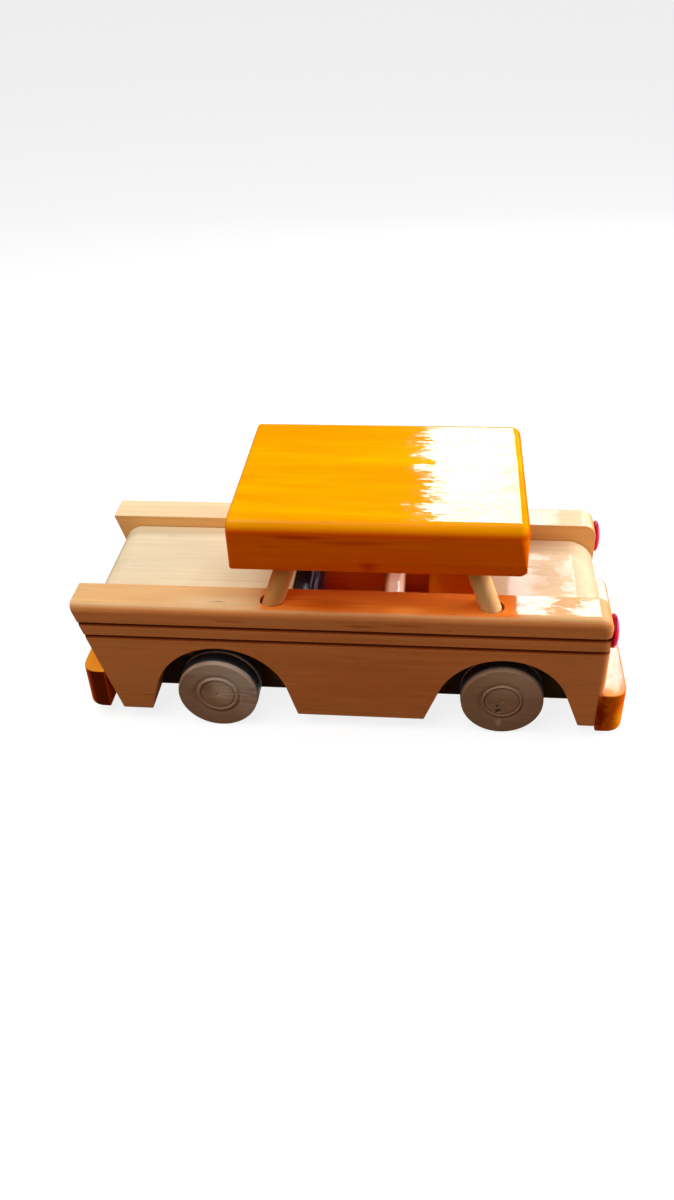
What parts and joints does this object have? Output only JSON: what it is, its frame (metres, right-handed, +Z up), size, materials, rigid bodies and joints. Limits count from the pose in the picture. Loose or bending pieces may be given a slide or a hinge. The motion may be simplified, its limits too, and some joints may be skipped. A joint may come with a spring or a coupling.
{
  "type": "wooden toy car",
  "caption": "Push-along toy car of grooved pine side plates, pale bonnet and boot, orange roof on leaning dowel pillars, block bumpers, red tail lights and banded wheels on turning axles.",
  "frame": {"origin": "on the floor plane under the wheels, at the middle of the car's overall length and width", "axes": "+X towards the tail, +Y towards the car's right side, +Z up; the nose points to -X"},
  "size_m": [0.2894, 0.1122, 0.1296],
  "materials": {
    "natural_pine": "clear satin varnish",
    "pale_pine": "clear satin varnish",
    "orange_stain": "transparent orange stain under gloss varnish",
    "black_lacquer": "gloss black lacquer",
    "wheel_wood": "turned, thin satin varnish",
    "dowel": "bare dowel, lightly varnished",
    "tyre_rubber": "matte black rubber band",
    "red_lens": "glossy red dome"
  },
  "bodies": {
    "body": {"side_plate_left": "natural_pine", "side_plate_right": "natural_pine", "bonnet_block": "pale_pine", "boot_block": "pale_pine", "chassis_board": "orange_stain", "dashboard": "black_lacquer", "front_seat_back": "pale_pine", "rear_seat": "orange_stain", "roof": "orange_stain", "pillar_front_left": "dowel", "pillar_front_right": "dowel", "pillar_rear_left": "dowel", "pillar_rear_right": "dowel", "front_bumper": "orange_stain", "rear_bumper": "orange_stain", "tail_light_left": "red_lens", "tail_light_right": "red_lens", "pin_bonnet_left": "dowel", "pin_bonnet_right": "dowel", "pin_boot_left": "dowel", "pin_boot_right": "dowel", "pin_sill_front_left": "dowel", "pin_sill_front_right": "dowel", "pin_sill_rear_left": "dowel", "pin_sill_rear_right": "dowel", "pin_bumper_front_left": "dowel", "pin_bumper_front_right": "dowel", "pin_bumper_rear_left": "dowel", "pin_bumper_rear_right": "dowel"},
    "front_axle_set": {"axle_front": "dowel", "wheel_front_left": "wheel_wood", "wheel_front_right": "wheel_wood", "tyre_outer_front_left": "tyre_rubber", "tyre_inner_front_left": "tyre_rubber", "tyre_outer_front_right": "tyre_rubber", "tyre_inner_front_right": "tyre_rubber"},
    "rear_axle_set": {"axle_rear": "dowel", "wheel_rear_left": "wheel_wood", "wheel_rear_right": "wheel_wood", "tyre_outer_rear_left": "tyre_rubber", "tyre_inner_rear_left": "tyre_rubber", "tyre_outer_rear_right": "tyre_rubber", "tyre_inner_rear_right": "tyre_rubber"}
  },
  "joints": [
    {"name": "front_axle_spin", "type": "hinge", "parent": "body", "child": "front_axle_set", "pos_m": [-0.07025, 0, 0.02179], "axis": [0, 1, 0], "continuous": true},
    {"name": "rear_axle_spin", "type": "hinge", "parent": "body", "child": "rear_axle_set", "pos_m": [0.08075, 0, 0.02179], "axis": [0, 1, 0], "continuous": true}
  ]
}
